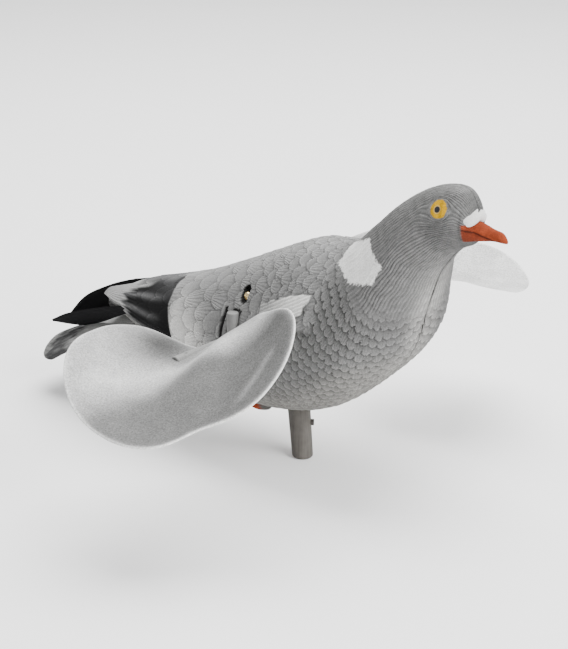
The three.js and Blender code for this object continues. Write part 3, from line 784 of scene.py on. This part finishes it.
def beak_root(x, z):
    """1 where the head is painted like the beak, with a soft edge."""
    soft = 0.3
    root = smooth(x, BEAK_BASE.x - soft, BEAK_BASE.x + soft)
    root *= smooth(z, BEAK_BASE.low - soft, BEAK_BASE.low + soft)
    return root * (1 - smooth(z, BEAK_BASE.high - soft, BEAK_BASE.high + soft))


def body_piece(name, side, half):
    """One half of the body, with its hollows carved, its seam opened and its colours."""
    points, lines, shade = half.raised(), half.lines(), half.shade()
    for shape, depth, dark in openings(side):
        points, sunk = carve(points, shape, depth)
        # Points sunk into a hollow that is painted in shade
        if dark:
            lines[sunk, 2] = 1
    x, z = half.x, half.z
    front = smooth(x, 60, 85) * (1 - smooth(z, 145, 150)) * (half.normals[..., 0] > 0)
    gap = SEAM_GAP + 0.3 * front * smooth(wander(z, x, 26, 41), -0.5, 0.7)
    points[..., 1] = np.minimum(points[..., 1], -gap)
    to_seam = np.abs(half.plain[..., 1])
    # Painted shade inside the opened seam on the breast, deeper where the gap is wider
    shade *= 1 - 0.45 * front * np.exp(-to_seam / (0.7 + 2 * gap))
    # Painted shade of the groove just behind the root of the beak
    beside_beak = bell(x, BEAK_BASE.x - 0.8, 0.7)
    beside_beak *= smooth(z, 146, 148) * (1 - smooth(z, 163, 165))
    shade *= 1 - 0.35 * beside_beak
    colour = blend(painted(half.plain, half.normals), beak_colours(x, z), beak_root(x, z))
    from_eye, from_pupil = (np.hypot(x - place[0], z - place[1]) for place in (EYE, PUPIL))
    spots = together(from_eye, polygon_distance(x, z, NECK_PATCH), from_pupil)
    points[..., 1] *= -side
    faces = grid_faces(*points.shape[:2], flip=side > 0)
    attributes = {"tint": tinted(colour, shade), "lines": lines, "spots": spots}
    return mesh_object(name, points, faces, "bird", PLUMAGE, attributes)


# Head pieces

def mouth_height(x):
    return 154.4 - 0.33 * (x - 137)


def beak_colours(x, z):
    """Orange, darker below the mouth and dark along it."""
    below = smooth(mouth_height(x) - z, -0.2, 0.8)
    line = bell(z, mouth_height(x), 0.6) * (1 - smooth(x, 154, 159))
    colour = layered(ORANGE, (DARK_ORANGE, 0.45 * below), (DARK_ORANGE, line))
    return colour * (1 - 0.35 * line + 0.12 * wander(x, z, 5, 51))[..., None]


def beak():
    """The beak, with its mouth pressed in and its hooked tip swollen, closed by a fan of faces."""
    rows, sides = 90, 96
    t = np.linspace(0, 1, rows)[:, None]
    points = section_ring(BEAK_SECTIONS, t, full_turn(sides))
    normals = normals_of(points, closed=True)
    x, y, z = (points[..., k] for k in range(3))
    mouth = bell(z, mouth_height(x), 0.6) * (1 - smooth(x, 153, 158))
    mouth *= smooth(np.abs(y), 0.5, 1.5)
    hook = 0.5 * bell(x, 158.5, 2.2) * (normals[..., 2] > 0)
    waist = 0.3 * bell(x, 152, 3)
    points = points + normals * (hook - waist - 0.7 * mouth)[..., None]
    faces = grid_faces(rows, sides, closed=True)
    flat = points.reshape(-1, 3)
    tip = len(flat)
    faces += [[tip, tip - sides + (k + 1) % sides, tip - sides + k] for k in range(sides)]
    flat = np.vstack([flat, flat[-sides:].mean(0)])
    attributes = {"tint": tinted(beak_colours(flat[:, 0], flat[:, 2])), "lines": 0 * flat}
    return mesh_object("beak", flat, faces, "bird", PLAIN_PLUMAGE, attributes)


def cere():
    """The white pad across the root of the beak, with a lobe on each side and a furrow between."""
    rows, sides = 90, 72
    across = np.linspace(-1, 1, rows)[:, None]
    around = full_turn(sides)
    size = np.sqrt(1 - np.clip(np.abs(across), 0, 0.998) ** 4)
    size = size * (1 - CERE.furrow * bell(across * CERE.wide, 0, 2))
    forward = CERE.long * size * np.cos(around)
    upward = CERE.high * size * np.sin(around)
    drop = CERE.drop * np.sin(0.5 * math.pi * across) ** 2
    cos, sin = math.cos(CERE.pitch), math.sin(CERE.pitch)
    x = CERE.x - 0.5 * drop + forward * cos + upward * sin
    z = CERE.z - drop + upward * cos - forward * sin
    points = together(x, across * CERE.wide, z)
    points += 0.25 * wander(points[..., 0] + points[..., 1], points[..., 2], 5, 9)[..., None]
    faces = grid_faces(rows, sides, closed=True, flip=True)
    faces += [list(range(sides)), list(range((rows - 1) * sides, rows * sides))[::-1]]
    return mesh_object("cere", points, faces, "bird", WHITE_FLOCK)


# Feet

def foot_colours(points):
    """Orange behind and grey in front."""
    x, z = points[..., 0], points[..., 2]
    front = smooth(x + 1.5 * wander(x, z, 6, 61), -22, -15)
    return blend(ORANGE, FOOT_GREY, front)


def foot(name, side):
    """The low swelling of a foot that is folded against the belly, with soft lumps."""
    rows, sides, pole = 40, 64, 0.02
    polar = np.linspace(pole, math.pi - pole, rows)[:, None]
    around = full_turn(sides)
    ball = together(np.cos(polar), np.sin(polar) * np.cos(around), np.sin(polar) * np.sin(around))
    swell = 1 + FOOT.lumps * wander(ball[..., 0] * 10, ball[..., 2] * 10, 8, 4)
    points = ball * FOOT.radii * swell[..., None] + (FOOT.x, side * FOOT.out, FOOT.z)
    faces = grid_faces(rows, sides, closed=True, flip=True)
    attributes = {"tint": tinted(foot_colours(points)), "lines": 0 * points}
    return mesh_object(name, points, faces, "bird", PLAIN_PLUMAGE, attributes)


# Folded wing ends and tail

def half_thickness(shape, thickness):
    """Half the thickness of a sheet with a grid of this shape, rounded off at its rim."""
    rim_columns, thinnest = 3, 0.08
    i, j = np.indices(shape)
    from_rim = np.minimum(np.minimum(i, shape[0] - 1 - i), np.minimum(j, shape[1] - 1 - j)) / rim_columns
    return 0.5 * thickness * np.sqrt(1 - (1 - np.clip(from_rim, thinnest, 1)) ** 2)


def sheet_piece(name, middle, thickness, height, colour, lines, side=-1):
    """A closed sheet around its middle surface, with feathers of some height on top of it."""
    rows, columns = middle.shape[:2]
    size = rows * columns
    normals = normals_of(middle)
    half = half_thickness((rows, columns), thickness)
    upper = middle + normals * (half + height)[..., None]
    lower = middle - normals * half[..., None]
    points = np.concatenate([upper, lower])
    points[..., 1] *= -side
    faces = grid_faces(rows, columns) + grid_faces(rows, columns, flip=True, start=size)
    index = np.arange(size).reshape(rows, columns)
    loop = np.concatenate([index[0, :-1], index[:-1, -1], index[-1, :0:-1], index[:0:-1, 0]])
    after = np.roll(loop, -1)
    faces += np.stack([loop, after, after + size, loop + size], 1).tolist()
    if side > 0:
        faces = [face[::-1] for face in faces]
    attributes = {"tint": np.concatenate([colour] * 2), "lines": np.concatenate([lines] * 2)}
    return mesh_object(name, points, faces, "bird", PLAIN_PLUMAGE, attributes)


def wing_end(name, side):
    """The rear end of a folded wing, a curved sheet with the raised rims of its long feathers."""
    t = np.linspace(0, 1, 150)[:, None]
    f = np.linspace(0, 1, 80)[None, :]
    x, low_y, low_z, top_y, top_z, crown = sections_at(WING_SECTIONS, t)
    out_y, out_z = -(top_z - low_z), low_y - top_y
    size = np.hypot(out_y, out_z)
    bulge = 4 * f * (1 - f) * crown
    y = bulge * out_y / size - low_y - (top_y - low_y) * (1 - f)
    z = low_z + (top_z - low_z) * (1 - f) + bulge * out_z / size
    middle = together(x, y, z)
    feather = WING_FEATHERS * f + 0 * t
    within = feather - np.floor(feather)
    long_feathers = smooth(-x, 80, 100) + 0 * f
    height = long_feathers * FEATHER_RAISE * within ** 2
    # Painted shadow just below each long feather's raised rim, and a painted highlight on the rim
    shade = 1 - 0.35 * long_feathers * np.exp(-within / 0.06)
    shade += 0.2 * long_feathers * smooth(within, 0.85, 1)
    lines = together(14 * f + 0 * t, 0.5, 0)
    colour = tinted(painted(middle, normals_of(middle)), shade)
    return sheet_piece(name, middle, WING_THICKNESS, height, colour, lines, side)


def tail():
    """The tail fan, whose feathers overlap away from its middle, with a mottled dark band."""
    t = np.linspace(0, 1, 150)[:, None]
    across = np.linspace(-1, 1, 120)[None, :]
    x, z, half, droop = sections_at(TAIL_SECTIONS, t)
    place = np.abs(across) * TAIL_FEATHERS + 0 * t
    within = place - np.floor(place)
    middle = together(x, -across * half, z - droop * across ** 2)
    x, y = middle[..., 0], middle[..., 1]
    mottle = 4 * wander(x, 3 * y, 26, 71) + 2.5 * wander(x, 3 * y, 9, 72)
    band = 0.9 * smooth(-x + mottle, 186, 202) * (1 - 0.8 * smooth(-x + 1.2 * mottle, 217, 228))
    band *= 1 - 0.35 * smooth(wander(x, 4 * y, 22, 73), 0.2, 0.9)
    colour = layered(TAIL_GREY, (TAIL_END, smooth(-x, 205, 222)), (TAIL_BAND, band))
    # Painted shadow just below each feather's raised rim, and a painted highlight on the rim
    shade = 1 - 0.3 * np.exp(-within / 0.07) + 0.12 * smooth(within, 0.8, 1)
    lines = together(10 * place / TAIL_FEATHERS, 0.5, 0)
    return sheet_piece("tail", middle, TAIL_THICKNESS, FEATHER_RAISE * within, tinted(colour, shade), lines)


def wing_tip(name, path, roll, node):
    """A black wing tip: a flat strip with rounded edges along a path, rolled on its edge."""
    rows, sides = 70, 48
    x, y, z, half = sections_at(path, np.linspace(0, 1, rows))
    place = together(x, y, z)
    forward = unit(np.gradient(place, axis=0))
    upward = unit(-np.cross((0, 1, 0), forward))
    turn = math.radians(roll)
    wide = unit(np.array((0, math.cos(turn), 0)) + math.sin(turn) * upward)
    thick = unit(np.cross(forward, wide))
    around = full_turn(sides)
    w = np.sign(np.cos(around)) * np.abs(np.cos(around)) ** 0.6
    h = np.sin(around) * (1 + 0.25 * np.cos(9 * around))
    points = (place[:, None] + wide[:, None] * (w[None, :, None] * half[:, None, None])
              + thick[:, None] * (h[None, :, None] * 0.5 * TIP_THICKNESS))
    faces = grid_faces(rows, sides, closed=True)
    piece = mesh_object(name, points, faces, "bird", BLACK_FLOCK)
    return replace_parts(piece, node)


# The spinning wings

def blade_reach(angle):
    """How far the blade's outline reaches from its middle at an angle around it."""
    reach = np.array(BLADE_REACH)
    sector = angle / (2 * math.pi) * len(reach)
    at = np.floor(sector).astype(int)
    return cubic(*(reach[(at + k) % len(reach)] for k in (-1, 0, 1, 2)), sector - at)


def blade_points(part, angle):
    """Middle surface of the right blade at parts of its reach and angles around its middle."""
    reach = part * blade_reach(angle)
    outward = np.maximum(BLADE_MIDDLE.out - reach * np.sin(angle), BLADE_INNER_EDGE)
    forward = BLADE_MIDDLE.forward + reach * np.cos(angle)
    span = (BLADE_MIDDLE.out - outward) / BLADE_SPAN
    height = BLADE_WAVE.height + BLADE_WAVE.rise * span - BLADE_WAVE.fall * span ** 2
    pitch = BLADE_WAVE.length + BLADE_WAVE.lengthening * span
    wave = height * np.sin(2 * math.pi * np.clip(forward / pitch, -0.75, 0.75))
    rise = wave + BLADE_WAVE.dish * (forward / BLADE_SPAN) ** 2
    for ridge in BLADE_RIDGES:
        along = outward - ridge.out
        beside = (forward - ridge.forward - ridge.slant * along) / ridge.width
        rise = rise + ridge.height * np.exp(-beside ** 2 - (along / ridge.fade) ** 2)
    twist = np.radians(BLADE_TWIST.middle + BLADE_TWIST.rise * span + BLADE_TWIST.curl * span ** 2)
    x = forward * np.cos(twist) - rise * np.sin(twist) - BLADE_MIDDLE.back + AXLE.x
    z = forward * np.sin(twist) + rise * np.cos(twist) + BLADE_MIDDLE.up + AXLE.z
    return together(x, -outward, z)


def blade_colours(points):
    """The top of the blade, one grey flock painted with the light and shade of its curve: a
    painted highlight band from its outer rear end to the ridge near the body, lit behind it,
    painted shade ahead of the band and deeper painted shade beside the sleeve, and a painted
    highlight streak near the front."""
    forward, outward = points[..., 0] - AXLE.x, -points[..., 1]
    ahead = forward - np.interp(outward, *HIGHLIGHT_BAND) + 2 * wander(forward, outward, 40, 81)
    beside_sleeve = bell(forward, -16, 22) * bell(outward, 102, 26)
    streak = bell(forward, 85, 3) * smooth(outward, 106, 118) * (1 - smooth(outward, 136, 150))
    return layered(
        BLADE_LIT,
        (BLADE_SHADED, smooth(ahead, 2, 34)),
        (BLADE_SHADE, beside_sleeve),
        (BLADE_CREST_HIGHLIGHT, bell(ahead, 0, 12) * (1 - smooth(outward, 160, 200))),
        (BLADE_LIT, 0.5 * streak),
    )


def blade(name, side, node):
    """A wing blade: a curved sheet with a rounded pale rim, white below and grey above."""
    columns, mean_reach, rounding = 200, 70, 0.8
    near_rim = [0.98, 0.988, 0.994, 0.998, 1.0]
    parts = np.concatenate([[0.002], np.linspace(0.02, 0.97, 55), near_rim])[:, None]
    angle = full_turn(columns)
    middle = blade_points(parts, angle + 0 * parts)
    normals = normals_of(middle, closed=True)
    from_rim = (1 - parts) * mean_reach
    half = 0.5 * BLADE_THICKNESS * np.sqrt(1 - (1 - np.clip(from_rim / rounding, 0.02, 1)) ** 2)
    below = middle + normals * half[..., None]
    above = middle - normals * half[..., None]
    colour = np.concatenate([WING_WHITE + 0 * middle, blade_colours(middle)[::-1]])
    rim = np.exp(-from_rim / 0.9) + 0 * angle
    colour = blend(colour, RIM_WHITE, np.concatenate([rim, rim[::-1]]))
    points = np.concatenate([below, above[::-1]])
    faces = grid_faces(len(points), columns, closed=True)
    last_ring = (len(points) - 1) * columns
    faces += [list(range(columns))[::-1], list(range(last_ring, last_ring + columns))]
    points[..., 1] *= -side
    if side > 0:
        faces = [face[::-1] for face in faces]
    piece = mesh_object(name, points, faces, "wings", PALE_FLOCK, {"tint": tinted(colour)})
    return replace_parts(piece, node)


def turned(name, profile, start, axis, body, material):
    """A round piece: (radius, distance along the axis) pairs turned about an axis from a start."""
    sides = 64
    axis = unit(np.asarray(axis, float))
    first = unit(np.cross(axis, (0.3, 0.5, 0.81)))
    second = np.cross(axis, first)
    around = full_turn(sides)
    circle = np.cos(around)[:, None] * first + np.sin(around)[:, None] * second
    profile = np.asarray(profile, float)
    points = (np.asarray(start, float) + profile[:, 1, None, None] * axis
              + profile[:, 0, None, None] * circle[None])
    faces = grid_faces(len(profile), sides, closed=True, flip=True)
    return mesh_object(name, points, faces, body, material)


def sleeve(name, side):
    """The blade's sleeve on the axle, hollow at its end, with its set-screw hole on top."""
    wall, bore, out = SLEEVE.radius, SLEEVE.bore, SLEEVE.out
    profile = [(wall, place) for place in np.arange(BLADE_INNER_EDGE, out - 0.4, 0.45)]
    profile += [(wall - 0.15, out - 0.12), (wall - 0.5, out)]
    profile += [(bore + 0.3, out), (bore, out - 0.3), (bore, out - 30)]
    start = (AXLE.x, 0, AXLE.z)
    piece = turned(name, profile, start, (0, side, 0), "wings", SLEEVE_FLOCK)
    hole = to_frame((AXLE.x, side * (out - SLEEVE.hole_from_end), AXLE.z + wall))
    for vertex in piece.data.vertices:
        off = math.hypot(vertex.co.x - hole[0], vertex.co.y - hole[1])
        if off < SLEEVE.hole * MM and vertex.co.z > hole[2] - 0.8 * MM:
            vertex.co.z -= (wall - bore) * MM
    return piece


# Posts and peg

def post(name, side, node):
    """The upright rod beside an opening in the flank, with the edge of its top rounded off."""
    radius, high = POST.radius, POST.high - POST.low
    profile = [(AT_AXIS, 0), (radius, 0), (radius, high - 0.5)]
    profile += [(radius - 0.15, high - 0.15), (radius - 0.5, high), (AT_AXIS, high)]
    start = (POST.x, side * POST.out, POST.low)
    piece = turned(name, profile, start, (0, 0, 1), "bird", GREY_PLASTIC)
    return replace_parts(piece, node)


def stand_peg():
    """The peg, leaning a little, from the rounded edge of its flat foot up into the belly."""
    steps = 12
    profile = [(AT_AXIS, 0), (PEG_FOOT_RADIUS - PEG_EDGE, 0)]
    for turn in np.linspace(0.25, 1, 5) * math.pi / 2:
        profile.append((PEG_FOOT_RADIUS - PEG_EDGE * (1 - math.sin(turn)), PEG_EDGE * (1 - math.cos(turn))))
    widening = PEG_TOP_RADIUS - PEG_FOOT_RADIUS
    high = PEG_HEIGHT + PEG_HIDDEN - PEG_EDGE
    for k in range(1, steps + 1):
        profile.append((PEG_FOOT_RADIUS + widening * k / steps, PEG_EDGE + high * k / steps))
    piece = turned("peg", profile, (PEG_LEAN, 0, -PEG_HEIGHT), (0, 0, 1), "bird", PEG)
    for vertex in piece.data.vertices:
        vertex.co.x -= PEG_LEAN / PEG_HEIGHT * vertex.co.z
    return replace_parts(piece, "stand_peg")


# Build

half = BodyHalf()
for side, word in ((-1, "right"), (1, "left")):
    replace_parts(body_piece(f"plumage_{word}", side, half), f"body_{word}_half")
    foot(f"foot_{word}", side)
    wing_end(f"wing_end_{word}", side)
    blade(f"blade_{word}", side, f"wing_blade_{word}")
    sleeve(f"sleeve_{word}", side)
    post(f"post_{word}", side, f"axle_post_{word}")
cere()
beak()
tail()
wing_tip("black_tips_right", RIGHT_TIP, RIGHT_TIP_ROLL, "primary_tips_right")
wing_tip("black_tips_left", LEFT_TIP, LEFT_TIP_ROLL, "primary_tips_left")
stand_peg()

for node, material in {"wing_axle": STEEL, "body_screw": BRASS, "peg_pin": DARK_PLASTIC}.items():
    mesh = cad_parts[node].data
    mesh.materials.clear()
    mesh.materials.append(material)


# Stage

CAMERA = Sizes(azimuth=40, elevation=19.5, distance=1.3, target=(-13.33, 0, 56.55), lens=106.8)
LIGHTS = [("key", (-0.3, 0.6, 1.8), 1.8, 90), ("front", (1.7, -0.1, 0.9), 1.4, 72)]
LIGHT_AIM = (0, 0, 0.1)
SKY_STRENGTH = 0.9
FLOOR_REACH = 6.0


def placed(name, data, place, away):
    """An object at a place, with its back turned to a direction."""
    made = bpy.data.objects.new(name, data)
    made.location = place
    made.rotation_euler = (-away).to_track_quat("-Z", "Y").to_euler()
    bpy.context.scene.collection.objects.link(made)
    return made


def area_light(name, place, size, power):
    """A round lamp aimed at the bird."""
    data = bpy.data.lights.new(name, "AREA")
    data.shape = "DISK"
    data.size = size
    data.energy = power
    placed(name, data, place, Vector(place) - Vector(LIGHT_AIM))


def floor():
    """A wide, nearly white floor at the height of the peg's foot."""
    mesh = bpy.data.meshes.new("floor")
    corners = [(-1, -1), (1, -1), (1, 1), (-1, 1)]
    mesh.from_pydata([(x * FLOOR_REACH, y * FLOOR_REACH, 0) for x, y in corners], [], [(0, 1, 2, 3)])
    piece = bpy.data.objects.new("floor", mesh)
    bpy.context.scene.collection.objects.link(piece)
    n = Nodes("floor_paint", 0.9)
    shade = n.span(n.noise(400), 0.3, 0.7, 0.83, 0.85)
    mesh.materials.append(n.finish(n.grey(shade)))


def camera():
    """The camera at the photo's angle and distance."""
    azimuth, elevation = math.radians(CAMERA.azimuth), math.radians(CAMERA.elevation)
    level = math.cos(elevation)
    back = Vector((math.sin(azimuth) * level, -math.cos(azimuth) * level, math.sin(elevation)))
    data = bpy.data.cameras.new("camera")
    data.sensor_width = 36
    data.lens = CAMERA.lens
    place = Vector(to_frame(CAMERA.target)) + CAMERA.distance * back
    bpy.context.scene.camera = placed("camera", data, place, back)


def sky():
    """Even white light from all around."""
    world = bpy.data.worlds.new("studio")
    world.use_nodes = True
    background = world.node_tree.nodes["Background"]
    background.inputs["Color"].default_value = (1, 1, 1, 1)
    background.inputs["Strength"].default_value = SKY_STRENGTH
    bpy.context.scene.world = world


floor()
camera()
sky()
for light in LIGHTS:
    area_light(*light)
